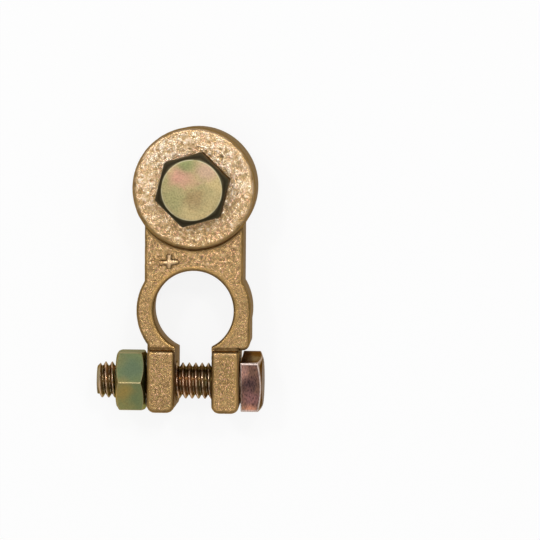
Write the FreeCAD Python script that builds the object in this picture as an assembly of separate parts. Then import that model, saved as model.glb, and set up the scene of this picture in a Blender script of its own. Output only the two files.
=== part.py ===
import FreeCAD, Part
import math
import os

# Battery post clamp with a cable bolt and a pinch bolt, in millimetres.
# The frame's origin is on the axis of the post bore, level with the flat underside.
# +Y runs from the bore to the cable pad, +Z is up from the underside to the marked face.

# Casting, seen from above; widths hold at the marked face, and the walls draw in below it
BORE_SMALL_DIAMETER = 17.5
POST_TAPER = 1 / 9
STRAIGHT_LAND = 2.5
RING_OUTER_DIAMETER = 25.2
NECK_WIDTH = 21.7
PAD_DIAMETER = 27.0
PAD_DISTANCE = 26.8
SLOT_WIDTH = 8.0
EAR_THICKNESS = 6.15
EAR_BEYOND_BOLT = 6.7
SHOULDER_INSET = 4.0
SHOULDER_SET_BACK = 0.2

# Casting, heights above the underside
RING_HEIGHT = 14.0
EAR_RISE = 0.95
PAD_RISE = 1.8
DRAFT_ANGLE = 1.75

# Casting, rounded edges
FACE_ROUND = 0.7
EAR_ROUND = 0.8
PAD_ROUND = 1.1
EAR_CORNER_ROUND = 1.8
EAR_ROOT_ROUND = 1.0
SHOULDER_CORNER_ROUND = 1.7
BORE_EDGE_ROUND = 0.6
BORE_EDGE_CONES = 3

# Pinch bolt and its nut
PINCH_THREAD_DIAMETER = 7.94
PINCH_LENGTH = 31.75
PINCH_HEAD_WIDTH = 11.1
PINCH_HEAD_HEIGHT = 4.6
PINCH_HEAD_TURN = 55.0
PINCH_HEAD_GAP = 0.2
HEAD_TO_SHOULDER = 1.55
NUT_WIDTH = 12.7
NUT_HEIGHT = 6.5
NUT_TURN = 1.1
NUT_GAP = 0.45
EAR_HOLE_CLEARANCE = 0.4
BOLT_TO_UNDERSIDE = 0.25

# Cable bolt
CABLE_THREAD_DIAMETER = 9.525
CABLE_LENGTH = 14.3
CABLE_HEAD_WIDTH = 14.6
CABLE_HEAD_HEIGHT = 5.9
CABLE_HEAD_TURN = 15.9

# Heads, nut and tips alike; the chamfer circle is a share of the width across flats
HEX_SIDES = 6
SQUARE_SIDES = 4
HEX_CHAMFER_ANGLE = 28.0
SQUARE_CHAMFER_ANGLE = 17.0
CHAMFER_CIRCLE = 0.92
TIP_CHAMFER = 0.9

# Running clearance, on the radius, where a bolt turns in its nut or in the casting
THREAD_CLEARANCE = 0.05

# Values that follow from the sizes above. The shoulder and the ears' raised faces start at the same line,
# and the shoulder keeps the square head from turning, so the bolt's line is set off from it.
ring_radius = RING_OUTER_DIAMETER / 2
neck_half = NECK_WIDTH / 2
slot_half = SLOT_WIDTH / 2
ear_outer = slot_half + EAR_THICKNESS
ear_start = -(ring_radius - SHOULDER_INSET)
shoulder_reach = ring_radius - SHOULDER_SET_BACK
pinch_axis_y = ear_start - HEAD_TO_SHOULDER - PINCH_HEAD_WIDTH / 2
ear_end = pinch_axis_y - EAR_BEYOND_BOLT
ear_top = RING_HEIGHT + EAR_RISE
pad_top = RING_HEIGHT + PAD_RISE
nut_corner_radius = NUT_WIDTH / 2 / math.cos(math.pi / HEX_SIDES)
pinch_axis_height = nut_corner_radius + BOLT_TO_UNDERSIDE
nut_inner_face = -(ear_outer + NUT_GAP)
pinch_seat = ear_outer + PINCH_HEAD_GAP
up = FreeCAD.Vector(0, 0, 1)
along_x = FreeCAD.Vector(1, 0, 0)


def vector(x, y, z=0.0):
    return FreeCAD.Vector(x, y, z)


def draft_inset(height):
    """How far a wall has drawn in at a height, because the casting leaves its mould downwards."""
    return (RING_HEIGHT - height) * math.tan(math.radians(DRAFT_ANGLE))


def block_outline(left, right, front, back, level, straight):
    """A block's outline at a level; its drafted walls have drawn in there, the straight ones have not."""
    inset = draft_inset(level)
    x_low = left if "left" in straight else left + inset
    x_high = right if "right" in straight else right - inset
    y_low = front if "front" in straight else front + inset
    y_high = back if "back" in straight else back - inset
    corners = [(x_low, y_low), (x_high, y_low), (x_high, y_high), (x_low, y_high), (x_low, y_low)]
    return [vector(x, y, level) for x, y in corners]


def make_block(left, right, front, back, height, straight):
    """A block between four walls, which are drafted apart from those that are named as straight."""
    foot = block_outline(left, right, front, back, 0, straight)
    top = block_outline(left, right, front, back, height, straight)
    outlines = [foot[::-1], top]
    outlines += [[foot[i], foot[i + 1], top[i + 1], top[i], foot[i]] for i in range(len(foot) - 1)]
    return Part.Solid(Part.Shell([Part.Face(Part.makePolygon(outline)) for outline in outlines]))


def make_drafted_disc(radius, centre_y, height):
    """A round block about a vertical axis, with the same draft as the walls."""
    foot_radius = radius - draft_inset(0)
    top_radius = radius - draft_inset(height)
    return Part.makeCone(foot_radius, top_radius, height, vector(0, centre_y), up)


def nearest_edge(shape, point):
    """The edge whose middle lies nearest to a point."""
    return min(shape.Edges, key=lambda edge: edge.CenterOfMass.distanceToPoint(point))


def round_edges(shape, radius, points):
    """Round the edge nearest to each point, and what runs on smoothly from it."""
    return shape.makeFillet(radius, [nearest_edge(shape, point) for point in points])


def make_ring():
    """The ring round the post, not yet bored."""
    ring = make_drafted_disc(ring_radius, 0, RING_HEIGHT)
    return round_edges(ring, FACE_ROUND, [vector(0, 0, RING_HEIGHT)])


def make_neck():
    """The flat neck from the middle of the ring to the middle of the pad."""
    neck = make_block(-neck_half, neck_half, 0, PAD_DISTANCE, RING_HEIGHT, ("front", "back"))
    sides = [vector(side * neck_half, PAD_DISTANCE / 2, RING_HEIGHT) for side in (-1, 1)]
    return round_edges(neck, FACE_ROUND, sides)


def make_shoulder():
    """The square shoulder that the ring has on the bolt head's side only."""
    shoulder = make_block(0, shoulder_reach, ear_start, 0, RING_HEIGHT, ("left", "back"))
    corner = vector(shoulder_reach, ear_start, RING_HEIGHT / 2)
    shoulder = round_edges(shoulder, SHOULDER_CORNER_ROUND, [corner])
    return round_edges(shoulder, FACE_ROUND, [vector(shoulder_reach, ear_start / 2, RING_HEIGHT)])


def make_ear_roots():
    """The stretch that carries the ears, level with the ring; the slot parts it later."""
    front = ear_start - EAR_THICKNESS / 2
    roots = make_block(-ear_outer, ear_outer, front, 0, RING_HEIGHT, ("front", "back"))
    sides = [vector(side * ear_outer, front / 2, RING_HEIGHT) for side in (-1, 1)]
    return round_edges(roots, FACE_ROUND, sides)


def make_ear(side):
    """An ear with rounded end corners and a softly rounded raised face; its slot wall is straight."""
    if side < 0:
        ear = make_block(-ear_outer, -slot_half, ear_end, ear_start, ear_top, ("right", "back"))
    else:
        ear = make_block(slot_half, ear_outer, ear_end, ear_start, ear_top, ("left", "back"))
    walls = (side * slot_half, side * ear_outer)
    ear = round_edges(ear, EAR_CORNER_ROUND, [vector(wall, ear_end, ear_top / 2) for wall in walls])
    ear = round_edges(ear, EAR_ROOT_ROUND, [vector(wall, ear_start, ear_top / 2) for wall in walls])
    return round_edges(ear, EAR_ROUND, [vector(side * ear_outer, (ear_end + ear_start) / 2, ear_top)])


def make_pad():
    """The round cable pad, as deep as the casting and raised above the neck."""
    pad = make_drafted_disc(PAD_DIAMETER / 2, PAD_DISTANCE, pad_top)
    return round_edges(pad, PAD_ROUND, [vector(0, PAD_DISTANCE, pad_top)])


def make_post_bore():
    """The bore as a solid: a mouth rounded by narrow cones, a short straight land, then the taper."""
    small = BORE_SMALL_DIAMETER / 2
    land_foot = RING_HEIGHT - STRAIGHT_LAND
    wide = small + land_foot * POST_TAPER / 2
    mouth_radius = small + BORE_EDGE_ROUND
    mouth_foot = RING_HEIGHT - BORE_EDGE_ROUND
    profile = [vector(0, 0), vector(wide, 0), vector(small, 0, land_foot)]
    for step in range(BORE_EDGE_CONES + 1):
        angle = math.pi / 2 * step / BORE_EDGE_CONES
        inward, upward = BORE_EDGE_ROUND * math.cos(angle), BORE_EDGE_ROUND * math.sin(angle)
        profile.append(vector(mouth_radius - inward, 0, mouth_foot + upward))
    profile += [vector(mouth_radius, 0, pad_top), vector(0, 0, pad_top), vector(0, 0)]
    return Part.Face(Part.makePolygon(profile)).revolve(vector(0, 0), up, 360)


def make_body():
    """The casting, with its slot, bore, ear holes and tapped hole."""
    plate = make_ring().fuse([make_neck(), make_shoulder(), make_ear_roots()])
    slot = Part.makeBox(SLOT_WIDTH, -ear_end, ear_top, vector(-slot_half, ear_end))
    solid = plate.cut(slot).fuse([make_ear(-1), make_ear(1), make_pad()]).removeSplitter()
    ear_hole_radius = PINCH_THREAD_DIAMETER / 2 + EAR_HOLE_CLEARANCE
    ear_hole_start = vector(-2 * ear_outer, pinch_axis_y, pinch_axis_height)
    ear_hole = Part.makeCylinder(ear_hole_radius, 4 * ear_outer, ear_hole_start, along_x)
    cable_hole_radius = CABLE_THREAD_DIAMETER / 2 + THREAD_CLEARANCE
    cable_hole = Part.makeCylinder(cable_hole_radius, pad_top, vector(0, PAD_DISTANCE), up)
    return solid.cut([make_post_bore(), ear_hole, cable_hole])


def make_prism(width, sides, height, turn):
    """A bolt head or nut blank: a regular prism measured across its flats, standing on 0."""
    radius = width / 2 / math.cos(math.pi / sides)
    angles = [math.radians(turn) + 2 * math.pi * i / sides for i in range(sides + 1)]
    points = [vector(radius * math.cos(angle), radius * math.sin(angle)) for angle in angles]
    return Part.Face(Part.makePolygon(points)).extrude(vector(0, 0, height))


def chamfer_cone(width, height, angle, at_foot):
    """A cone that cuts a prism's corners back where the two are kept in common."""
    flat_radius = CHAMFER_CIRCLE * width / 2
    cone_height = 2 * height
    base_radius = flat_radius + cone_height / math.tan(math.radians(angle))
    if at_foot:
        return Part.makeCone(flat_radius, base_radius, cone_height)
    return Part.makeCone(base_radius, flat_radius, cone_height, vector(0, 0, height - cone_height), up)


def make_bolt(head, radius, length):
    """A head that stands on 0, with a plain shank below it at the thread's outer diameter."""
    shank_end = TIP_CHAMFER - length
    shank = Part.makeCylinder(radius, -shank_end, vector(0, 0, shank_end), up)
    tip = Part.makeCone(radius - TIP_CHAMFER, radius, TIP_CHAMFER, vector(0, 0, -length), up)
    return head.fuse([shank, tip]).removeSplitter()


def make_head(width, sides, height, turn, chamfer_angle):
    """A bolt head standing on 0, with the corners of its outer end cut back."""
    prism = make_prism(width, sides, height, turn)
    return prism.common(chamfer_cone(width, height, chamfer_angle, False))


def lay_along_x(shape, x):
    """Lay a shape's axis along X on the pinch bolt's line, with what was at 0 at the given X."""
    shape.rotate(vector(0, 0), vector(0, 1), 90)
    shape.translate(vector(x, pinch_axis_y, pinch_axis_height))
    return shape


def make_pinch_bolt():
    """Square-headed bolt through both ears, its head outside the right ear."""
    width, height = PINCH_HEAD_WIDTH, PINCH_HEAD_HEIGHT
    head = make_head(width, SQUARE_SIDES, height, PINCH_HEAD_TURN, SQUARE_CHAMFER_ANGLE)
    return lay_along_x(make_bolt(head, PINCH_THREAD_DIAMETER / 2, PINCH_LENGTH), pinch_seat)


def make_pinch_nut():
    """Hexagon nut outside the left ear, chamfered at both ends."""
    nut = make_head(NUT_WIDTH, HEX_SIDES, NUT_HEIGHT, NUT_TURN, HEX_CHAMFER_ANGLE)
    nut = nut.common(chamfer_cone(NUT_WIDTH, NUT_HEIGHT, HEX_CHAMFER_ANGLE, True))
    bore = Part.makeCylinder(PINCH_THREAD_DIAMETER / 2 + THREAD_CLEARANCE, NUT_HEIGHT)
    return lay_along_x(nut.cut(bore), nut_inner_face - NUT_HEIGHT)


def make_cable_bolt():
    """Hexagon bolt that screws down into the pad and clamps the cable's eye."""
    width, height = CABLE_HEAD_WIDTH, CABLE_HEAD_HEIGHT
    head = make_head(width, HEX_SIDES, height, CABLE_HEAD_TURN, HEX_CHAMFER_ANGLE)
    bolt = make_bolt(head, CABLE_THREAD_DIAMETER / 2, CABLE_LENGTH)
    bolt.translate(vector(0, PAD_DISTANCE, pad_top))
    return bolt


pieces = {
    "clamp_body": make_body(),
    "cable_bolt": make_cable_bolt(),
    "pinch_bolt": make_pinch_bolt(),
    "pinch_nut": make_pinch_nut(),
}
os.makedirs("parts", exist_ok=True)
for name, shape in pieces.items():
    solid = shape.Solids[0] if len(shape.Solids) == 1 else shape
    solid.exportStep("parts/" + name + ".step")
    print(name, "valid", solid.isValid(), "solids", len(shape.Solids), "volume", round(solid.Volume, 1))
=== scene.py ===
import math
import bmesh
import bpy
import numpy as np
from mathutils import Matrix, Vector


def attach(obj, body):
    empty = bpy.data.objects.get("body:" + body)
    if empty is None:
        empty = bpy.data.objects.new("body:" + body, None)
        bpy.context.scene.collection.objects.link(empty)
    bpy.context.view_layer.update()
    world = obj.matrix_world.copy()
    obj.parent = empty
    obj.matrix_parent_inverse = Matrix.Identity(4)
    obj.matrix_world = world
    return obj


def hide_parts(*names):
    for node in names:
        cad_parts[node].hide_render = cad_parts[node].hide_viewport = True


# A cast battery post clamp that lies flat, with its cable bolt, pinch bolt and nut.
# Everything in Blender is in metres; sizes in the dictionaries are in millimetres.
mm = 0.001
coincident = 4e-8  # metres: points this close together are one
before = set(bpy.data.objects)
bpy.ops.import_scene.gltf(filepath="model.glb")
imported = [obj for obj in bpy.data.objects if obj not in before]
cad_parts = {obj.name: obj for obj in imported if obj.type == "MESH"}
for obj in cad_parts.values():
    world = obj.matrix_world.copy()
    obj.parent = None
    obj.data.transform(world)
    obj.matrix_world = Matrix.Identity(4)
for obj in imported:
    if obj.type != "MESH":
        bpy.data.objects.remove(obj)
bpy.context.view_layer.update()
print("frame loaded")


def linkPiece(name, mesh):
    piece = bpy.data.objects.new(name, mesh)
    bpy.context.scene.collection.objects.link(piece)
    return piece


def meshFromGrid(name, grid, closedAcross=False, capped=False):
    # grid[row, column] holds points in millimetres. Neighbouring points become quads, the
    # columns join up round the piece, closedAcross also joins the last row to the first, and
    # capped puts one face on each.
    rows, columns = grid.shape[:2]
    index = np.arange(rows * columns).reshape(rows, columns)
    if closedAcross:
        index = np.vstack([index, index[:1]])
    right = np.roll(index, -1, axis=1)
    quads = np.stack([index[:-1], right[:-1], right[1:], index[1:]], axis=-1).reshape(-1, 4).tolist()
    if capped:
        quads += [index[0, ::-1].tolist(), index[-1].tolist()]
    mesh = bpy.data.meshes.new(name)
    mesh.from_pydata((grid.reshape(-1, 3) * mm).tolist(), [], quads)
    mesh.update()
    return mesh


def joinMeshes(name, meshes):
    # One mesh of closed shells: points that coincide are merged, normals point outwards, and the faces of
    # each mesh take its number as their material.
    joined = bmesh.new()
    for number, mesh in enumerate(meshes):
        mesh.polygons.foreach_set("material_index", np.full(len(mesh.polygons), number, np.int32))
        joined.from_mesh(mesh)
    bmesh.ops.remove_doubles(joined, verts=joined.verts, dist=coincident)
    bmesh.ops.recalc_face_normals(joined, faces=joined.faces)
    result = bpy.data.meshes.new(name)
    joined.to_mesh(result)
    joined.free()
    return result


def shadeSmooth(mesh, sharpAngle):
    # smooth faces, with creases kept where two faces meet at more than the angle
    mesh.shade_smooth()
    mesh.set_sharp_from_angle(angle=math.radians(sharpAngle))


def readPoints(mesh):
    # in millimetres
    points = np.empty(len(mesh.vertices) * 3, np.float32)
    mesh.vertices.foreach_get("co", points)
    return points.reshape(-1, 3).astype(float) / mm


def writePoints(mesh, points):
    mesh.vertices.foreach_set("co", (points * mm).astype(np.float32).ravel())
    mesh.update()


def readNormals(mesh):
    normals = np.empty(len(mesh.vertices) * 3, np.float32)
    mesh.vertices.foreach_get("normal", normals)
    return normals.reshape(-1, 3).astype(float)


def readEdges(mesh):
    edges = np.empty(len(mesh.edges) * 2, np.int32)
    mesh.edges.foreach_get("vertices", edges)
    return edges.reshape(-1, 2)


def storeValues(mesh, name, values):
    attribute = mesh.attributes.new(name, "FLOAT", "POINT")
    attribute.data.foreach_set("value", values.astype(np.float32))


def settled(piece):
    # the piece's modifiers are made part of its mesh
    mesh = bpy.data.meshes.new_from_object(piece.evaluated_get(bpy.context.evaluated_depsgraph_get()))
    piece.modifiers.clear()
    piece.data = mesh
    return mesh


def smoothStep(values, low, high):
    # 0 below low, 1 above high; between them three times the square of the way less twice its cube
    share = np.clip((values - low) / (high - low), 0, 1)
    return share * share * (3 - 2 * share)


def bell(values, middle, width):
    # 1 at the middle, and e to the minus square of the distance from it, counted in widths
    return np.exp(-((values - middle) / width) ** 2)


def spread(values, edges, rounds):
    # each round gives every point the mean of itself and the points it shares an edge with
    count = len(values)
    first, second = edges.T
    neighbours = np.bincount(first, minlength=count) + np.bincount(second, minlength=count)
    for turn in range(rounds):
        total = np.bincount(first, values[second], count) + np.bincount(second, values[first], count)
        values = (values + total) / (1 + neighbours)
    return values


def latticeNoise(points, cell, seed):
    # Each corner of a cubic lattice has a fixed pseudo-random slope. A point takes the smooth
    # blend of the heights that the eight corners round it give it: lumps about one cell
    # across, from about -0.6 to 0.6.
    place = points / cell + seed * 7.31
    base = np.floor(place)
    inside = place - base
    ease = inside ** 3 * (inside * (inside * 6 - 15) + 10)
    mixing = np.array([[12.9898, 39.346, 73.156], [78.233, 11.135, 52.235], [37.719, 83.155, 9.151]])
    total = np.zeros(len(points))
    for corner in np.ndindex(2, 2, 2):
        mixed = np.sin((base + corner) @ mixing + seed) * 43758.5453
        slope = (mixed - np.floor(mixed)) * 2 - 1
        weight = np.prod(np.where(corner, ease, 1 - ease), axis=1)
        total += weight * np.sum(slope * (inside - corner), axis=1)
    return total


def wrinkles(points, cell, seed):
    # The lattice noise is folded at nought, so that crests run where it changes sign, and bent by a
    # second, wider noise, so that they wander. 1 is a crest, and 0 a hollow.
    bend = np.stack([latticeNoise(points, cell * 1.7, seed + step) for step in (3, 5, 8)], axis=-1)
    return np.clip(1 - 2.4 * np.abs(latticeNoise(points + bend * cell * 1.3, cell, seed)), 0, 1)


# Camera

viewing = {
    "aim": (16.68, 9.20, 14.0),  # the point that falls in the middle of the picture
    "fromRight": 3.8,  # degrees off straight down
    "fromFar": 3.7,
    "roll": 0.45,
    "distance": 1600,
    "pictureWidth": 117.7,
}


def addCamera(sizes):
    # far off, with a narrow view, so that the picture has next to no perspective
    aim = Vector(sizes["aim"]) * mm
    side = math.tan(math.radians(sizes["fromRight"]))
    far = math.tan(math.radians(sizes["fromFar"]))
    back = Vector((side, far, 1)).normalized()
    right = Vector((0, 1, 0)).cross(back).normalized()
    upward = back.cross(right)
    roll = Matrix.Rotation(math.radians(sizes["roll"]), 4, "Z")
    data = bpy.data.cameras.new("camera")
    data.sensor_width = 36
    data.lens = data.sensor_width * sizes["distance"] / sizes["pictureWidth"]
    data.clip_start = 0.05
    data.clip_end = 20
    camera = bpy.data.objects.new("camera", data)
    turn = Matrix((right, upward, back)).transposed().to_4x4() @ roll
    camera.matrix_world = Matrix.Translation(aim + back * sizes["distance"] * mm) @ turn
    bpy.context.scene.collection.objects.link(camera)
    bpy.context.scene.camera = camera


addCamera(viewing)


# Shader maths

class Value:
    # A socket that can be used in sums; each sum adds a Math node.
    def __init__(self, tree, socket):
        self.tree = tree
        self.socket = socket

    def by(self, operation, *others):
        node = self.tree.nodes.new("ShaderNodeMath")
        node.operation = operation
        for slot, other in zip(node.inputs, (self,) + others):
            plug(self.tree, slot, other)
        return Value(self.tree, node.outputs[0])

    def reversedBy(self, operation, other):
        node = self.tree.nodes.new("ShaderNodeMath")
        node.operation = operation
        plug(self.tree, node.inputs[0], other)
        plug(self.tree, node.inputs[1], self)
        return Value(self.tree, node.outputs[0])

    def __add__(self, other):
        return self.by("ADD", other)

    def __sub__(self, other):
        return self.by("SUBTRACT", other)

    def __rsub__(self, other):
        return self.reversedBy("SUBTRACT", other)

    def __mul__(self, other):
        return self.by("MULTIPLY", other)

    __radd__ = __add__
    __rmul__ = __mul__

    def between(self, low, high):
        # 0 below low, 1 above high, and a smooth step between them
        node = self.tree.nodes.new("ShaderNodeMapRange")
        node.interpolation_type = "SMOOTHSTEP"
        for slot, value in zip(node.inputs, (self, low, high, 0.0, 1.0)):
            plug(self.tree, slot, value)
        return Value(self.tree, node.outputs[0])

    def fade(self, low, high):
        # low where the value is 0, high where it is 1
        return self * (high - low) + low


def plug(tree, slot, value):
    # a value is linked to the slot, a number or colour is set on it
    if isinstance(value, Value):
        tree.links.new(value.socket, slot)
    else:
        slot.default_value = value


class Finish:
    # A material under construction, with one method for every node.
    def __init__(self, name):
        self.material = bpy.data.materials.new(name)
        self.material.use_nodes = True
        self.tree = self.material.node_tree
        self.tree.nodes.clear()

    def node(self, kind, settings=None, inputs=None, output=0):
        made = self.tree.nodes.new("ShaderNode" + kind)
        for key, value in (settings or {}).items():
            if key == "stops":
                self.setStops(made.color_ramp, value)
            else:
                setattr(made, key, value)
        for key, value in (inputs or {}).items():
            plug(self.tree, made.inputs[key], value)
        return Value(self.tree, made.outputs[output])

    def setStops(self, ramp, stops):
        while len(ramp.elements) > 1:
            ramp.elements.remove(ramp.elements[-1])
        for number, (place, colour) in enumerate(stops):
            element = ramp.elements[0] if number == 0 else ramp.elements.new(place)
            element.position = place
            element.color = (*colour, 1)

    def place(self):
        # the point on the piece, in millimetres
        spot = self.node("TexCoord", output="Object")
        return self.node("VectorMath", {"operation": "SCALE"}, {0: spot, "Scale": 1000.0})

    def part(self, vector, axis):
        return self.node("SeparateXYZ", inputs={0: vector}, output=axis)

    def attribute(self, name):
        return self.node("Attribute", {"attribute_name": name}, output="Fac")

    def distance(self, place, point, flatten=(1.0, 1.0, 1.0)):
        # how far a point of the piece is from a given one, with an axis left out where flatten is 0 for it
        flat = self.node("VectorMath", {"operation": "MULTIPLY"}, {0: place, 1: flatten})
        return self.node("VectorMath", {"operation": "DISTANCE"}, {0: flat, 1: point}, output="Value")

    def noise(self, place, scale, detail=2.0, roughness=0.5, warp=0.0):
        inputs = {"Vector": place, "Scale": scale, "Detail": detail}
        inputs |= {"Roughness": roughness, "Distortion": warp}
        return self.node("TexNoise", inputs=inputs)

    def ramp(self, value, stops):
        return self.node("ValToRGB", {"stops": stops}, {0: value})

    def blend(self, factor, first, second, style="MIX"):
        settings = {"data_type": "RGBA", "blend_type": style}
        colours = [colour if isinstance(colour, Value) else (*colour, 1) for colour in (first, second)]
        return self.node("Mix", settings, {0: factor, 6: colours[0], 7: colours[1]}, output=2)

    def bump(self, height, strength, distance):
        return self.node("Bump", inputs={"Strength": strength, "Distance": distance, "Height": height})

    def end(self, shader):
        ending = self.tree.nodes.new("ShaderNodeOutputMaterial")
        self.tree.links.new(shader.socket, ending.inputs["Surface"])
        return self.material

    def close(self, inputs):
        return self.end(self.node("BsdfPrincipled", inputs=inputs))


print("tools ready")


# Casting

castingShape = {
    "weld": 0.002,  # points of the solid's mesh that lie this close together are one
    "voxel": 0.20,
    "kept": 0.55,  # the share of the faces that is left once walls and underside are thinned
    "top": 14.0,
    "boreRadius": 8.75,
    "boreRim": (0.9, 1.2),  # how far outside the bore the relief sets in
    "padAxis": (0.0, 26.8),
    "padRadius": 13.5,
    "padTop": 15.8,
    "padHoleRadius": 4.9,
    "padHoleRim": (0.2, 0.5),
    "flat": 0.985,  # a normal that rises more than this is on a flat face
    "fadeRounds": 5,  # the relief fades out beside the rounded edges in this many rounds
    "coarseFrom": (6.0, 10.0),  # the grain grows coarser over this stretch of Y
    "coarse": {
        "crestCell": 0.65,
        "crests": 0.4,
        "lumpCell": 0.8,
        "lumps": 0.8,
        "level": 0.3,
        "depth": 0.14,
        "seeds": (1, 2),
    },
    "fine": {
        "crestCell": 0.55,
        "crests": 0.35,
        "lumpCell": 0.6,
        "lumps": 0.8,
        "level": 0.35,
        "depth": 0.07,
        "seeds": (4, 6),
    },
    "swellCell": 3.2,
    "swellDepth": 0.07,
    "wallDepth": 0.06,
    "wallFrom": (0.0, 0.6),  # the walls' grain sets in over this height
    "valleyLine": -8.45,  # where the ears' raised faces rise from the ring
    "valleyWidth": 0.34,
    "valleyDepth": 0.18,
    "earOuter": 10.15,
    "footOut": 0.25,  # the groove round the pad's foot lies this far outside it
    "footWidth": 0.45,
    "footDepth": 0.16,
    "outline": (0.48, 0.2),  # the line of painted shade on the rounded edges: its slope, and how far it spreads
}


def evenCasting(sizes):
    # The casting's own solid is cut into even small faces, which are laid back on the solid. Walls and
    # underside are then thinned, and the marked face, where the relief goes, keeps all of its faces.
    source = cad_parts["clamp_body"]
    shell = bmesh.new()
    shell.from_mesh(source.data)
    bmesh.ops.remove_doubles(shell, verts=shell.verts, dist=sizes["weld"] * mm)
    mesh = bpy.data.meshes.new("clampCasting")
    shell.to_mesh(mesh)
    shell.free()
    piece = linkPiece("clampCasting", mesh)
    evener = piece.modifiers.new("even", "REMESH")
    evener.mode = "VOXEL"
    evener.voxel_size = sizes["voxel"] * mm
    seat = piece.modifiers.new("seat", "SHRINKWRAP")
    seat.target = source
    seat.wrap_method = "NEAREST_SURFACEPOINT"
    evened = settled(piece)
    marked = (readNormals(evened)[:, 2] > 0.2) & (readPoints(evened)[:, 2] > sizes["top"] - 4)
    plain = piece.vertex_groups.new(name="plain")
    plain.add(np.flatnonzero(~marked).tolist(), 1.0, "REPLACE")
    thinner = piece.modifiers.new("thin", "DECIMATE")
    thinner.ratio = sizes["kept"]
    thinner.vertex_group = "plain"
    settled(piece)
    piece.vertex_groups.clear()
    return piece


markShape = {  # a raised cross on the neck beside the bore, the sign for the positive post
    "crossing": (-5.42, 10.57),
    "bars": [((-2.3, -0.16), (2.3, 0.2)), ((0.03, 1.85), (0.0, -1.5))],
    "floor": 13.70,
    "rise": 0.62,
    "halfWidth": 0.74,
    "uneven": 0.1,  # how much the bars' width varies along them
    "gold": (13.9, 14.3),  # heights over which the colour turns from brown to gold,
    "brown": (13.9, 14.15),  # over which the painted shade at the foot ends,
    "paintedBright": (14.12, 14.27),  # and over which a highlight is painted on the crest
    "calm": (0.5, 1.3),  # how far from a bar the casting's grain comes back
    "calmShare": 0.75,
    "calmHeight": 0.45,
    "calmDepth": 0.06,
    "shadeAt": 0.75,  # how far from a bar the line of painted shade round the mark lies
    "shadeWidth": 0.24,
    "shadeFrom": (8.8, 10.4),  # that line fades out over this stretch of Y, towards the bore
}


def fromBars(points, sizes):
    # the shortest way in the plane from each point to a bar of the mark
    ways = []
    for start, end in sizes["bars"]:
        start, along = np.array(start) + sizes["crossing"], np.array(end) - start
        share = np.clip((points[:, :2] - start) @ along / (along @ along), 0, 1)
        ways.append(np.linalg.norm(points[:, :2] - start - share[:, None] * along, axis=1))
    return np.min(ways, axis=0)


def grainHeight(points, grain):
    # crests and round lumps, each in its own share, about a level
    crests = wrinkles(points, grain["crestCell"], grain["seeds"][0])
    lumps = latticeNoise(points, grain["lumpCell"], grain["seeds"][1])
    return crests * grain["crests"] + lumps * grain["lumps"] + grain["level"]


def paintedRimHighlight(points, sizes, fromPad, facing):
    # Where a highlight is painted: 1 on the rounded edge of the pad where it looks to the far left
    # and the far right, by the cosine of the turn from there, and somewhat less along the near ends
    # of the ears' raised faces, by a bell curve
    x, y, z = points.T
    far = (y - sizes["padAxis"][1]) / np.maximum(fromPad, 1)
    right = x / np.maximum(fromPad, 1)
    toFarLeft = smoothStep(far * 0.8 - right * 0.6, 0, 0.8)
    toFarRight = smoothStep(far * 0.6 + right * 0.8, 0.2, 0.9)
    rounded = smoothStep(facing, 0.6, 0.85) * (1 - smoothStep(facing, 0.96, 0.995))
    pad = np.maximum(toFarLeft, toFarRight) * rounded * (z > sizes["padTop"] - 1.2) * (fromPad > 12)
    ears = bell(y, sizes["valleyLine"] - 0.75, 0.25) * (np.abs(x) < 9.6) * (facing > 0.3)
    return np.maximum(pad, ears * 0.6)


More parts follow.
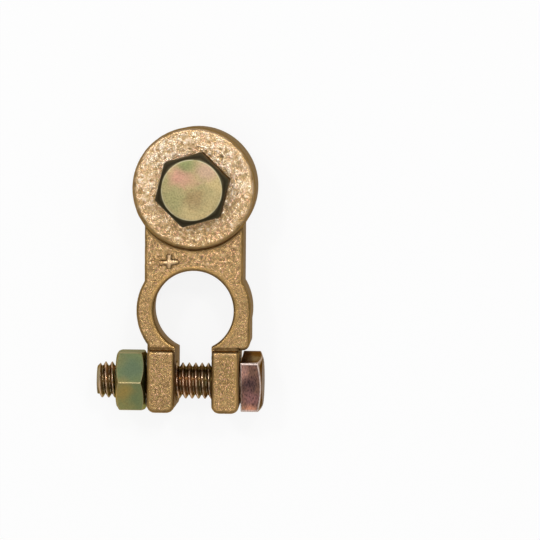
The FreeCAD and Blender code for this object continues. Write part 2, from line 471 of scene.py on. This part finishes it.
def castSkin(mesh, sizes, mark):
    # Every point is pressed in along its normal: on the marked face by wrinkles and lumps, which fade out
    # before the rounded edges and are calm round the mark, on the walls by a faint grain, and on both by
    # a slow swell. Two soft grooves, before the ears and round the pad's foot, are as deep as the bell
    # curve of the distance from their lines. What lies where is kept for the shader: painted shade in the
    # grooves, in a line round the mark and in a brown line along the rounded edges, and a painted
    # highlight on some rounded edges of the pad and the ears.
    points = readPoints(mesh)
    normals = readNormals(mesh)
    x, y, z = points.T
    facing = normals[:, 2]
    fromBore = np.hypot(x, y)
    fromPad = np.hypot(x - sizes["padAxis"][0], y - sizes["padAxis"][1])
    flatness = spread((facing > sizes["flat"]).astype(float), readEdges(mesh), sizes["fadeRounds"])
    skin = smoothStep(flatness, 0.40, 0.90)
    clear = smoothStep(fromBore - sizes["boreRadius"], *sizes["boreRim"])
    clear *= smoothStep(fromPad - sizes["padHoleRadius"], *sizes["padHoleRim"])
    outside = clear * smoothStep(z, *sizes["wallFrom"]) * (1 - skin)

    coarse = smoothStep(y, *sizes["coarseFrom"])
    big, small = sizes["coarse"], sizes["fine"]
    height = np.clip(grainHeight(points, big) * coarse + grainHeight(points, small) * (1 - coarse), 0, 1)
    grain = (1 - height) * (big["depth"] * coarse + small["depth"] * (1 - coarse))
    onTop = z > sizes["top"] - 0.5
    toMark = fromBars(points, mark)
    calm = 1 - mark["calmShare"] * (1 - smoothStep(toMark, *mark["calm"])) * onTop
    grain = grain * calm + mark["calmDepth"] * (1 - calm)
    swell = np.clip(latticeNoise(points, sizes["swellCell"], 9) + 0.5, 0, 1)
    upward = smoothStep(facing, 0.3, 0.8)
    valley = bell(y, sizes["valleyLine"], sizes["valleyWidth"]) * upward * (np.abs(x) < sizes["earOuter"])
    foot = bell(fromPad, sizes["padRadius"] + sizes["footOut"], sizes["footWidth"])
    foot *= upward * (z < sizes["padTop"] - 0.6)
    depth = grain * skin * clear + (1 - height) * sizes["wallDepth"] * outside
    depth += swell * sizes["swellDepth"] * np.maximum(skin * clear, outside * 0.6)
    depth += valley * sizes["valleyDepth"] + foot * sizes["footDepth"]
    writePoints(mesh, points - normals * depth[:, None])

    # painted shade: a line round the mark and a brown line along the rounded edges, added to the grooves
    shade = bell(toMark, mark["shadeAt"], mark["shadeWidth"]) * onTop * smoothStep(y, *mark["shadeFrom"])
    outline = bell(facing, *sizes["outline"]) * (z > sizes["top"] - 4)
    outline *= fromBore > sizes["boreRadius"] + 0.5
    paintedShade = valley + foot * 0.8 + shade * 0.5 + outline * 0.6
    storeValues(mesh, "relief", np.clip(height * calm + mark["calmHeight"] * (1 - calm), 0, 1))
    storeValues(mesh, "skin", skin * clear * (1 - paintedShade))
    storeValues(mesh, "wall", 1 - smoothStep(np.abs(facing), 0.12, 0.5))
    storeValues(mesh, "paintedShade", np.clip(paintedShade, 0, 1))
    storeValues(mesh, "coarse", coarse)
    # painted highlight on rounded edges of the pad and along the ears' raised faces
    storeValues(mesh, "paintedHighlight", paintedRimHighlight(points, sizes, fromPad, facing))
    shadeSmooth(mesh, 50)


brassLook = {
    "relief": (0.14, 0.22),  # shares of the height, where the casting is fine and where it is coarse
    "grain": (0.30, 0.42),
    "crumbs": (0.56, 0.36),
    "middle": 0.47,  # the height that the contrast leaves as it is
    "contrast": (0.68, 0.16, 0.12),  # everywhere, and what coarse grain and the pad's face add
    "level": (0.438, 0.016, 0.105, 0.018),  # the same, and what everything but the ears adds
    "raisedFrom": (15.1, 15.6),  # the pad's face, which is brightened with painted light,
    "brighterFrom": (17, 31),  # most at its far side
    "earsFrom": (-9.2, -7.8),
    # the low end of the ramp is painted shade in the low places of the relief, the high end painted glints
    "stops": [
        (0.33, (0.115, 0.064, 0.026)),
        (0.44, (0.245, 0.148, 0.060)),
        (0.53, (0.420, 0.262, 0.112)),
        (0.61, (0.640, 0.440, 0.240)),
        (0.69, (0.930, 0.780, 0.620)),
    ],
    "pink": (0.88, 0.50, 0.38),
    "green": (0.42, 0.39, 0.18),
    "edge": (0.42, 0.255, 0.095),
    "edgeDark": (0.30, 0.185, 0.069),
    "patches": [(0.3, (0.88, 0.88, 0.86)), (0.7, (1.06, 1.05, 1.03))],
    # the colour of the painted shade in the grooves, round the mark and along the rounded edges
    "paintedShade": (0.15, 0.09, 0.038),
    # the walls' olive, darkened with painted shade
    "wallDark": (0.205, 0.135, 0.060),
    "wallPale": (0.315, 0.210, 0.098),
    # the colour of the painted highlight
    "paintedHighlight": (0.86, 0.60, 0.36),
    "grazing": (0.50, 0.36, 0.20),
    "roughness": (0.19, 0.33),
    "wallRoughness": (0.05, 0.35),  # what a wall adds
    "bumpDistance": 0.00013,
}


def castBrass(name, look):
    # The height is the mesh's own relief with two sizes of grain over it, flatter where the
    # casting is finer. The low places get painted shade in brown, high places are gold and the highest
    # nearly white, a painted glint, and a few lean to pink or green. The pad's face is brightened with
    # painted light. The rounded edges are a plainer gold, with painted highlights and painted shade on
    # them, and the walls have a duller finish and an olive darkened with painted shade.
    finish = Finish(name)
    place = finish.place()
    relief = finish.attribute("relief")
    skin = finish.attribute("skin")
    wall = finish.attribute("wall")
    paintedShade = finish.attribute("paintedShade")
    coarse = finish.attribute("coarse")
    far = finish.part(place, "Y")
    # painted light on the pad's face, most at its far side
    raised = finish.part(place, "Z").between(*look["raisedFrom"])
    raised = raised * far.between(*look["brighterFrom"]).fade(0.5, 1.0)
    grain = finish.noise(place, 3.0, 3.0, 0.62, 0.3)
    crumbs = finish.noise(place, 6.5, 2.0, 0.6)
    height = relief * coarse.fade(*look["relief"]) + grain * coarse.fade(*look["grain"])
    height = height + crumbs * coarse.fade(*look["crumbs"])
    everywhere, ifCoarse, ifRaised = look["contrast"]
    contrast = coarse * ifCoarse + raised * ifRaised + everywhere
    everywhere, ifCoarse, ifRaised, offEars = look["level"]
    level = coarse * ifCoarse + raised * ifRaised + far.between(*look["earsFrom"]) * offEars + everywhere
    # the ramp paints the relief's shade and glints into the colour
    colour = finish.ramp((height - look["middle"]) * contrast + level, look["stops"])
    tint = finish.noise(place, 2.0, 2.0, 0.6)
    colour = finish.blend(tint.between(0.55, 0.68) * coarse.fade(0.3, 0.45), colour, look["pink"])
    colour = finish.blend((1 - tint).between(0.55, 0.68) * 0.3, colour, look["green"])
    band = finish.noise(place, 0.35, 3.0, 0.6)
    edgeColour = finish.blend(band.between(0.38, 0.62), look["edge"], look["edgeDark"])
    colour = finish.blend((1 - skin) * 0.9, colour, edgeColour)
    tone = finish.ramp(finish.noise(place, 0.12, 2.0, 0.5), look["patches"])
    colour = finish.blend(1.0, colour, tone, "MULTIPLY")
    # painted shade in the grooves, round the mark, along the rounded edges and at the foot of the bars
    colour = finish.blend(paintedShade * 0.8, colour, look["paintedShade"])
    # walls: a duller finish, and an olive darkened with painted shade
    cast = finish.noise(place, 2.2, 4.0, 0.7)
    wallColour = finish.blend(cast.between(0.32, 0.70), look["wallDark"], look["wallPale"])
    colour = finish.blend(wall * 0.9, colour, wallColour)
    # painted highlight on the rounded edges and on the crests of the mark's bars
    paintedHighlight = finish.attribute("paintedHighlight") * band.between(0.35, 0.6)
    colour = finish.blend(paintedHighlight * 0.8, colour, look["paintedHighlight"])
    bumpHeight = (grain * coarse.fade(0.4, 1.0) + crumbs * 0.5) * skin.fade(0.5, 1.0)
    return finish.close({
        "Base Color": colour,
        "Metallic": 1 - wall * 0.15,
        "Roughness": band.fade(*look["roughness"]) + wall * cast.fade(*look["wallRoughness"]),
        "Specular Tint": (*look["grazing"], 1),
        "Normal": finish.bump(bumpHeight, 1.0, look["bumpDistance"]),
    })


casting = evenCasting(castingShape)
castSkin(casting.data, castingShape, markShape)
brass = castBrass("castBrass", brassLook)
casting.data.materials.clear()
casting.data.materials.append(brass)
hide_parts("clamp_body")
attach(casting, "body")
print("casting made, triangles:", sum(len(face.vertices) - 2 for face in casting.data.polygons))


# The mark's bars

def raisedBar(name, sizes, start, end):
    # A half-round ridge from start to end: its section is half an ellipse, and towards the ends it
    # shrinks as the square root of one less the twelfth power of the distance along. Its width also
    # varies a little along it, by a sine.
    u = np.linspace(-1, 1, 49)[:, None]
    v = np.linspace(0, 2 * np.pi, 24, endpoint=False)[None, :]
    swell = np.clip(1 - np.abs(u) ** 12, 0, 1) ** 0.5 * (1 + sizes["uneven"] * np.sin(u * 5 + 0.62))
    start, end = np.array(start), np.array(end)
    direction = (end - start) / np.linalg.norm(end - start)
    middle = (start + end) / 2 + np.array(sizes["crossing"])
    along = u * np.linalg.norm(end - start) / 2 + 0 * v
    across = np.cos(v) * sizes["halfWidth"] * swell
    x = middle[0] + along * direction[0] - across * direction[1]
    y = middle[1] + along * direction[1] + across * direction[0]
    z = np.sin(v) * sizes["rise"] * swell + sizes["floor"]
    mesh = joinMeshes(name, [meshFromGrid(name + "Grid", np.stack([x, y, z], axis=-1))])
    level = readPoints(mesh)[:, 2]
    storeValues(mesh, "relief", smoothStep(level, *sizes["gold"]))
    storeValues(mesh, "skin", 0.35 + 0 * level)
    storeValues(mesh, "wall", 0 * level)
    # painted shade at the foot of the bar
    storeValues(mesh, "paintedShade", 0.7 - 0.7 * smoothStep(level, *sizes["brown"]))
    storeValues(mesh, "coarse", 0 * level)
    # painted highlight along the bar's crest
    storeValues(mesh, "paintedHighlight", smoothStep(level, *sizes["paintedBright"]) * 0.8)
    shadeSmooth(mesh, 60)
    return linkPiece(name, mesh)


for number, (start, end) in enumerate(markShape["bars"]):
    bar = raisedBar("plusBar" + str(number + 1), markShape, start, end)
    bar.data.materials.append(brass)
    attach(bar, "body")
print("mark made")


# Plating of the bolts and the nut

def passivatedZinc(name, look):
    # Thin plating whose colour drifts slowly over the piece. Round stains with ragged edges lie over it,
    # then fine specks and scratches, and a painted highlight along the edges. On a turned face there are
    # rings of tool marks round its axis and a painted highlight round its rim, and what lies outside that
    # face is darker, with painted shade. A chamfer gets painted shade, and a thread painted shade in its
    # roots and a painted highlight on its crests.
    finish = Finish(name)
    place = finish.place()
    drift = finish.noise(place, look["scale"], 2.0, 0.5, 0.6)
    colour = finish.ramp(drift, look["stops"])
    ragged = finish.noise(place, 0.5, 4.0, 0.65)
    for stain in look.get("stains", []):
        reach = finish.distance(place, stain["at"]) * ragged.fade(0.2, 1.8)
        share = (1 - reach.between(stain["radius"] * 0.2, stain["radius"])) * stain["share"]
        colour = finish.blend(share, colour, stain["colour"])
    stretch = look.get("stretch", (1.0, 1.0, 1.0))
    stretched = finish.node("VectorMath", {"operation": "MULTIPLY"}, {0: place, 1: stretch})
    specks = finish.noise(stretched, 3.2, 3.0, 0.65)
    speckStops = [(0.30, look["speckDark"]), (0.50, (1.0, 1.0, 1.0)), (0.68, look["speckPale"])]
    colour = finish.blend(1.0, colour, finish.ramp(specks, speckStops), "MULTIPLY")
    roughness = specks.fade(look["roughness"] - 0.07, look["roughness"] + 0.07)
    height = specks
    if "turned" in look:
        turned = look["turned"]
        fromAxis = finish.distance(place, turned["axis"], (1.0, 1.0, 0.0))
        rings = (fromAxis * 12.0 + specks * 5.0).by("SINE")
        disc = finish.attribute("disc")
        dot = 1 - fromAxis.between(0.12, 0.35)
        rim = fromAxis.between(turned["rimHighlightFrom"], turned["rimHighlightFrom"] + 0.12)
        toolMarks = rings.between(0.2, 1.0) * ragged.between(0.45, 0.6) * 0.10
        colour = finish.blend(dot * 0.5, colour, turned["dot"])
        colour = finish.blend(toolMarks, colour, turned["pale"])
        # painted highlight round the rim of the turned face
        colour = finish.blend(rim * ragged.between(0.35, 0.5) * 0.7, colour, turned["pale"])
        # painted shade on everything outside the turned face
        colour = finish.blend(disc, finish.ramp(drift, turned["side"]), colour)
        height = specks + rings * disc * 0.22
        roughness = roughness + (1 - disc) * 0.05
    # painted shade on the chamfer
    if "bevelShade" in look:
        colour = finish.blend(finish.attribute("bevelShade") * 0.85, colour, look["bevelShade"])
    # painted shade in the thread's roots and a painted highlight on its crests
    if "root" in look:
        crest = finish.attribute("crest")
        colour = finish.blend((1 - crest) * 0.4, colour, look["root"])
        colour = finish.blend(crest.between(0.7, 1.0) * 0.5, colour, look["crest"])
    # painted highlight along the edges, broken by the specks
    if "edge" in look:
        paintedBright = finish.attribute("edge") * specks.between(0.30, 0.55).fade(0.5, 1.0)
        colour = finish.blend(paintedBright * look["edgeShare"], colour, look["edge"])
    return finish.close({
        "Base Color": colour,
        "Metallic": 1.0,
        "Roughness": roughness,
        "Specular Tint": (*zincLooks["grazing"], 1),
        "Normal": finish.bump(height, 0.3, zincLooks["bumpDistance"]),
    })


# In each look the edge colour is a painted highlight along the edges, the chamfer colour and the colours
# outside a turned face are painted shade, and a thread's root and crest colours are painted shade and a
# painted highlight.
zincLooks = {
    "grazing": (0.45, 0.36, 0.24),
    "bumpDistance": 0.00004,
    "cableHead": {
        "scale": 0.13,
        "stops": [(0.36, (0.43, 0.33, 0.16)), (0.5, (0.33, 0.27, 0.132)), (0.62, (0.275, 0.248, 0.115))],
        "stains": [
            {"at": (-2.7, 29.8, 21.7), "radius": 3.2, "colour": (0.50, 0.25, 0.19), "share": 0.8},
            {"at": (-0.6, 29.2, 21.7), "radius": 3.0, "colour": (0.44, 0.25, 0.17), "share": 0.6},
            {"at": (3.3, 31.0, 21.7), "radius": 3.4, "colour": (0.44, 0.29, 0.21), "share": 0.8},
            {"at": (-1.4, 32.3, 21.7), "radius": 2.6, "colour": (0.18, 0.20, 0.085), "share": 0.8},
            {"at": (0.7, 25.0, 21.7), "radius": 3.2, "colour": (0.25, 0.165, 0.08), "share": 0.7},
        ],
        "turned": {
            "axis": (0.0, 26.8, 0.0),
            # where the painted highlight round the rim starts
            "rimHighlightFrom": 6.38,
            "dot": (0.20, 0.17, 0.07),
            "pale": (0.50, 0.45, 0.28),
            # colours outside the turned face: painted shade
            "side": [(0.35, (0.046, 0.038, 0.021)), (0.6, (0.070, 0.052, 0.030))],
        },
        # chamfer colour: painted shade
        "bevelShade": (0.052, 0.042, 0.023),
        "speckDark": (0.74, 0.73, 0.69),
        "speckPale": (1.26, 1.24, 1.20),
        "edge": (0.22, 0.19, 0.10),
        "edgeShare": 0.3,
        "roughness": 0.36,
    },
    "nut": {
        "scale": 0.12,
        "stops": [(0.34, (0.44, 0.42, 0.16)), (0.46, (0.36, 0.39, 0.16)), (0.58, (0.29, 0.35, 0.165))],
        "stains": [
            {"at": (-15.4, -17.4, 12.8), "radius": 3.8, "colour": (0.62, 0.42, 0.12), "share": 0.85},
            {"at": (-13.6, -12.6, 13.6), "radius": 4.0, "colour": (0.21, 0.29, 0.18), "share": 0.75},
            {"at": (-16.6, -11.0, 12.5), "radius": 2.8, "colour": (0.36, 0.35, 0.16), "share": 0.6},
            {"at": (-12.8, -18.6, 11.5), "radius": 3.0, "colour": (0.22, 0.32, 0.17), "share": 0.7},
        ],
        "speckDark": (0.84, 0.83, 0.80),
        "speckPale": (1.12, 1.11, 1.08),
        "edge": (0.70, 0.50, 0.28),
        "edgeShare": 0.5,
        "roughness": 0.34,
    },
    "pinchHead": {
        "scale": 0.2,
        "stops": [(0.34, (0.28, 0.155, 0.09)), (0.5, (0.20, 0.11, 0.075)), (0.66, (0.15, 0.08, 0.065))],
        "stains": [
            {"at": (10.5, -13.4, 13.6), "radius": 2.6, "colour": (0.42, 0.23, 0.19), "share": 0.8},
            {"at": (12.6, -16.4, 13.1), "radius": 3.0, "colour": (0.062, 0.036, 0.040), "share": 0.8},
            {"at": (12.6, -19.2, 12.6), "radius": 2.8, "colour": (0.25, 0.12, 0.115), "share": 0.8},
            {"at": (12.4, -21.9, 12.1), "radius": 2.2, "colour": (0.60, 0.27, 0.17), "share": 0.85},
            {"at": (12.6, -9.4, 10.5), "radius": 4.2, "colour": (0.36, 0.29, 0.21), "share": 0.95},
        ],
        # chamfer colour: painted shade
        "bevelShade": (0.10, 0.062, 0.036),
        "stretch": (1.3, 0.45, 1.0),
        "speckDark": (0.22, 0.20, 0.20),
        "speckPale": (1.55, 1.40, 1.20),
        "edge": (0.95, 0.78, 0.70),
        "edgeShare": 0.8,
        "roughness": 0.30,
    },
    "thread": {
        "scale": 0.16,
        "stops": [(0.35, (0.54, 0.32, 0.19)), (0.5, (0.45, 0.33, 0.19)), (0.65, (0.38, 0.32, 0.18))],
        # painted shade in the roots and a painted highlight on the crests
        "root": (0.09, 0.062, 0.036),
        "crest": (0.80, 0.56, 0.42),
        "speckDark": (0.93, 0.92, 0.90),
        "speckPale": (1.05, 1.04, 1.02),
        "roughness": 0.24,
    },
}


# Bolts and nut

def roundedPolygon(sides, width, cornerRadius, turn):
    # A regular polygon's outline, with each corner a small arc: every corner gives an arc of points and
    # every side a straight run of them, spaced by a cosine so that they stand closer near the corners.
    reach = (width / 2 - cornerRadius) / math.cos(math.pi / sides)
    sweep = np.linspace(-math.pi / sides, math.pi / sides, 7)
    corner = 2 * math.pi * np.arange(sides)[:, None] / sides + turn
    x = reach * np.cos(corner) + cornerRadius * np.cos(corner + sweep)
    y = reach * np.sin(corner) + cornerRadius * np.sin(corner + sweep)
    runs = 0.5 - 0.5 * np.cos(np.pi * np.linspace(0, 1, 19)[1:-1])
    nextX, nextY = np.roll(x[:, :1], -1, axis=0), np.roll(y[:, :1], -1, axis=0)
    x = np.hstack([x, x[:, -1:] + (nextX - x[:, -1:]) * runs])
    y = np.hstack([y, y[:, -1:] + (nextY - y[:, -1:]) * runs])
    return x.ravel(), y.ravel()


def headOutline(sizes):
    return roundedPolygon(sizes["sides"], sizes["width"], sizes["cornerRadius"], math.radians(sizes["turn"]))


def rimAndFoot(reach, sizes):
    # The heights between which the side stands. The chamfers take from them the tangent of their angle
    # times the distance from the chamfer circle, so they dip at the corners and barely touch the flats.
    beyond = np.maximum(reach - sizes["chamferCircle"] * sizes["width"] / 2, 0)
    rim = sizes["height"] - beyond * math.tan(math.radians(sizes["chamferAngle"]))
    foot = beyond * math.tan(math.radians(sizes.get("footAngle", 0)))
    return rim, foot


def headRows(sizes):
    # Rings of a head from its washer face, out and up its side, over the chamfer and in over
    # its top. Each is the outline times a scale, at a height. They stand closer near the
    # rims, where the painted edge highlight is drawn.
    x, y = headOutline(sizes)
    reach = np.hypot(x, y)
    rim, foot = rimAndFoot(reach, sizes)
    whole = np.ones(len(x))
    inner = np.minimum(sizes["chamferCircle"] * sizes["width"] / 2 / reach, 1)
    top = sizes["height"]
    edge = sizes["edgeRound"]
    rows = [(0.5 * inner, 0 * foot), (inner, 0 * foot)]
    rows += [(1 - edge / reach, foot), (1 - 0.3 * edge / reach, foot + 0.3 * edge), (whole, foot + edge)]
    rows += [(whole, foot + edge + step) for step in (0.12, 0.25, 0.4)]
    rows += [(whole, foot + (rim - foot) * share) for share in (0.25, 0.42, 0.58, 0.75)]
    rows += [(whole, rim - edge - step) for step in (0.4, 0.25, 0.12)]
    rows += [(whole, rim - edge), (1 - 0.3 * edge / reach, rim - 0.3 * edge), (1 - edge / reach, rim)]
    rows += [((inner + 1 - edge / reach) / 2, (rim + top) / 2)]
    rows += [(inner * 1.002, (top - 0.02) * whole), (inner * 0.985, top * whole)]
    rows += [(inner * share, top * whole) for share in (0.8, 0.55, 0.3, 0.1)]
    return np.stack([np.stack([x * scale, y * scale, height], axis=-1) for scale, height in rows])


def threadRadius(along, around, sizes):
    # The distance from the axis follows a triangle wave of the phase: distance along, in
    # pitches, less the turn. Narrow flats top its crests at the outer diameter, and its
    # roots lie 0.61 of a pitch deeper.
    phase = along / sizes["pitch"] - around / (2 * np.pi)
    wave = np.abs((phase - np.floor(phase)) * 2 - 1)
    wave = np.clip((wave - 0.12) / 0.76, 0, 1)
    crest = sizes["diameter"] / 2
    root = crest - 0.6134 * sizes["pitch"]
    return root + (crest - root) * wave


def threadedShank(sizes, columns=72, steps=12):
    # Rings from the chamfered tip up to the head. Near the tip the radius is held under a cone, and in
    # the last turn under the head the groove runs out.
    rows = int(sizes["length"] / sizes["pitch"] * steps)
    along = np.linspace(0, sizes["length"], rows)[:, None]
    around = np.linspace(0, 2 * np.pi, columns, endpoint=False)[None, :]
    crest = sizes["diameter"] / 2
    radius = np.minimum(threadRadius(along, around, sizes), crest - sizes["tipChamfer"] + along)
    runOut = smoothStep(along, sizes["length"] - sizes["runOut"], sizes["length"] - 0.3)
    radius = radius + (crest - radius) * runOut
    height = along - sizes["length"] + 0 * around
    return np.stack([radius * np.cos(around), radius * np.sin(around), height], axis=-1)


def toAxis(points, sizes):
    # the local Z axis goes to the piece's own: up, or along X
    if sizes["axis"] == "X":
        points = np.stack([points[..., 2], points[..., 1], -points[..., 0]], axis=-1)
    return points + np.array(sizes["at"])


def markEdges(mesh, sizes, shank=None):
    # "disc" is 1 on the flat end of a head, and another value is 1 on the chamfer round it, which gets
    # painted shade. "edge" is 1 on the corners between the flats and on the two rims of the side, where
    # a highlight is painted, and falls to 0 over a short way. Near a corner that way is the outline's
    # lack of radius, divided by the sine of half its turn. "crest" runs from 0 in the roots of a thread
    # to 1 on its crests.
    local = readPoints(mesh) - np.array(sizes["at"])
    if sizes["axis"] == "X":
        local = np.stack([-local[:, 2], local[:, 1], local[:, 0]], axis=-1)
    reach = np.hypot(local[:, 0], local[:, 1])
    level = local[:, 2]
    x, y = headOutline(sizes)
    outline = np.hypot(x, y)
    side = np.interp(np.arctan2(local[:, 1], local[:, 0]), np.arctan2(y, x), outline, period=2 * np.pi)
    rim, foot = rimAndFoot(side, sizes)
    inward = np.maximum(side - reach, 0)
    toCorner = (outline.max() - side) / math.sin(math.pi / sizes["sides"]) + inward
    nearest = np.min([np.hypot(inward, level - rim), np.hypot(inward, level - foot), toCorner], axis=0)
    disc = smoothStep(level, sizes["height"] - 0.03, sizes["height"] - 0.005)
    upper = level > sizes["height"] / 2
    storeValues(mesh, "disc", disc)
    # the chamfer, which gets painted shade
    storeValues(mesh, "bevelShade", smoothStep(inward, 0.08, 0.2) * upper * (1 - disc))
    # where the painted edge highlight goes
    paintedEdgeHighlight = 1 - smoothStep(nearest, 0.3 * sizes["edgeHighlightReach"], sizes["edgeHighlightReach"])
    storeValues(mesh, "edge", paintedEdgeHighlight * (level > -0.01))
    if shank:
        radius = shank["diameter"] / 2
        storeValues(mesh, "crest", smoothStep(reach, radius - 0.6 * shank["pitch"], radius - 0.02))


def makeBolt(name, sizes, shank, looks):
    # head and shank are two closed shells in one mesh; the shank's last ring lies just inside the head
    head = meshFromGrid(name + "Head", toAxis(headRows(sizes), sizes), capped=True)
    thread = meshFromGrid(name + "Shank", toAxis(threadedShank(shank), sizes), capped=True)
    mesh = joinMeshes(name, [head, thread])
    markEdges(mesh, sizes, shank)
    shadeSmooth(mesh, 35)
    for look in looks:
        mesh.materials.append(passivatedZinc(name + look + "Zinc", zincLooks[look]))
    return linkPiece(name, mesh)


def standFor(piece, node):
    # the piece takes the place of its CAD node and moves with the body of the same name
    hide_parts(node)
    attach(piece, node)


cableHead = {
    "at": (0.0, 26.8, 15.8),
    "axis": "Z",
    "sides": 6,
    "turn": 15.9,
    "width": 14.6,
    "height": 5.9,
    "cornerRadius": 0.25,
    "chamferCircle": 0.914,
    "chamferAngle": 28,
    "edgeRound": 0.12,
    "edgeHighlightReach": 0.25,
}
cableShank = {"diameter": 9.525, "pitch": 1.5875, "length": 14.3, "tipChamfer": 0.9, "runOut": 2.0}
cableBolt = makeBolt("cableBolt", cableHead, cableShank, ["cableHead", "thread"])
standFor(cableBolt, "cable_bolt")

pinchHead = {
    "at": (10.35, -15.7, 7.5823),
    "axis": "X",
    "sides": 4,
    "turn": 55,
    "width": 11.1,
    "height": 4.6,
    "cornerRadius": 0.35,
    "chamferCircle": 0.92,
    "chamferAngle": 17,
    "edgeRound": 0.15,
    "edgeHighlightReach": 0.30,
}
pinchShank = {"diameter": 7.94, "pitch": 1.4111, "length": 31.75, "tipChamfer": 0.9, "runOut": 1.5}
pinchBolt = makeBolt("pinchBolt", pinchHead, pinchShank, ["pinchHead", "thread"])
standFor(pinchBolt, "pinch_bolt")
print("bolts made")

nutShape = {
    "at": (-17.1, -15.7, 7.5823),
    "axis": "X",
    "sides": 6,
    "turn": 1.1,
    "width": 12.7,
    "height": 6.5,
    "cornerRadius": 0.25,
    "chamferCircle": 0.92,
    "chamferAngle": 28,
    "footAngle": 28,
    "edgeRound": 0.12,
    "edgeHighlightReach": 0.22,
    "play": 0.05,  # between the nut's thread and the bolt's, on the radius
}


def makeNut(name, sizes, bolt, shank):
    # The hexagon's rings run from one mouth of the hole round to the other, and back through the hole,
    # whose wall is the bolt's thread at the same phase, further out by the play.
    outer = headRows(sizes)[1:-4]  # less the rings that would run in over both faces
    around = np.arctan2(outer[0, :, 1], outer[0, :, 0])
    start = sizes["at"][0] - (bolt["at"][0] - shank["length"])
    inside = np.linspace(0.02, sizes["height"] - 0.02, 56)
    height = np.concatenate([[0.0], inside, [sizes["height"]]])[::-1, None]
    radius = threadRadius(height + start, around, shank) + sizes["play"]
    mouth = (height == 0) | (height == sizes["height"])
    radius = np.where(mouth, shank["diameter"] / 2 + sizes["play"], radius)
    hole = np.stack([radius * np.cos(around), radius * np.sin(around), height + 0 * around], axis=-1)
    grid = np.concatenate([outer, hole])
    mesh = joinMeshes(name, [meshFromGrid(name + "Grid", toAxis(grid, sizes), closedAcross=True)])
    markEdges(mesh, sizes)
    shadeSmooth(mesh, 35)
    mesh.materials.append(passivatedZinc(name + "Zinc", zincLooks["nut"]))
    return linkPiece(name, mesh)


pinchNut = makeNut("pinchNut", nutShape, pinchHead, pinchShank)
standFor(pinchNut, "pinch_nut")
print("nut made")


# Floor and light

studio = {
    "floorSize": 3000,
    "floorLevel": -0.02,  # just under the casting, so that the two faces don't share a plane
    "floorColour": (0.95, 0.95, 0.95),
    "floorWhite": 0.86,  # how much of the floor's shadow is lost against a white background
    "worldStrength": 0.42,
    "lamps": [
        {"at": (0, 100, 2000), "size": 3200, "power": 19.0},
        {"at": (-20, 20, 1200), "size": 110, "power": 0.34},
        {"at": (-260, 300, 750), "size": 100, "power": 0.9},
        {"at": (220, 340, 800), "size": 100, "power": 0.9},
    ],
}


def whiteFloor(name, sizes):
    # Pale paint, mixed with plain white where the camera or a gloss looks straight at it, so that the
    # object's shadow stays but is light.
    finish = Finish(name)
    colour = (*sizes["floorColour"], 1)
    paint = finish.node("BsdfPrincipled", None, {"Base Color": colour, "Roughness": 0.9})
    white = finish.node("Emission", None, {"Color": (1, 1, 1, 1), "Strength": 1.0})
    seen = finish.node("LightPath", output="Is Camera Ray")
    mirrored = finish.node("LightPath", output="Is Glossy Ray")
    through = finish.node("LightPath", output="Is Transmission Ray")
    share = (seen + mirrored + through).by("MINIMUM", 1.0) * sizes["floorWhite"]
    return finish.end(finish.node("MixShader", None, {0: share, 1: paint, 2: white}))


def addStudio(sizes):
    # a square floor, lamps that look at the origin, and an even pale world
    half = sizes["floorSize"] / 2
    corners = np.array([(-half, -half, 0), (half, -half, 0), (half, half, 0), (-half, half, 0)])
    mesh = bpy.data.meshes.new("floor")
    mesh.from_pydata(((corners + (0, 0, sizes["floorLevel"])) * mm).tolist(), [], [(0, 1, 2, 3)])
    floor = linkPiece("floor", mesh)
    mesh.materials.append(whiteFloor("whiteFloor", sizes))
    for number, lamp in enumerate(sizes["lamps"]):
        data = bpy.data.lights.new("lamp" + str(number), "AREA")
        data.size = lamp["size"] * mm
        data.energy = lamp["power"]
        light = bpy.data.objects.new(data.name, data)
        spot = Vector(lamp["at"]) * mm
        light.matrix_world = Matrix.Translation(spot) @ spot.to_track_quat("Z", "Y").to_matrix().to_4x4()
        bpy.context.scene.collection.objects.link(light)
    world = bpy.data.worlds.new("studio")
    world.use_nodes = True
    background = world.node_tree.nodes["Background"]
    background.inputs["Strength"].default_value = sizes["worldStrength"]
    background.inputs["Color"].default_value = (1, 1, 1, 1)
    bpy.context.scene.world = world


addStudio(studio)
bpy.context.scene.view_settings.view_transform = "Standard"
print("floor and light made")

print("scene ready")
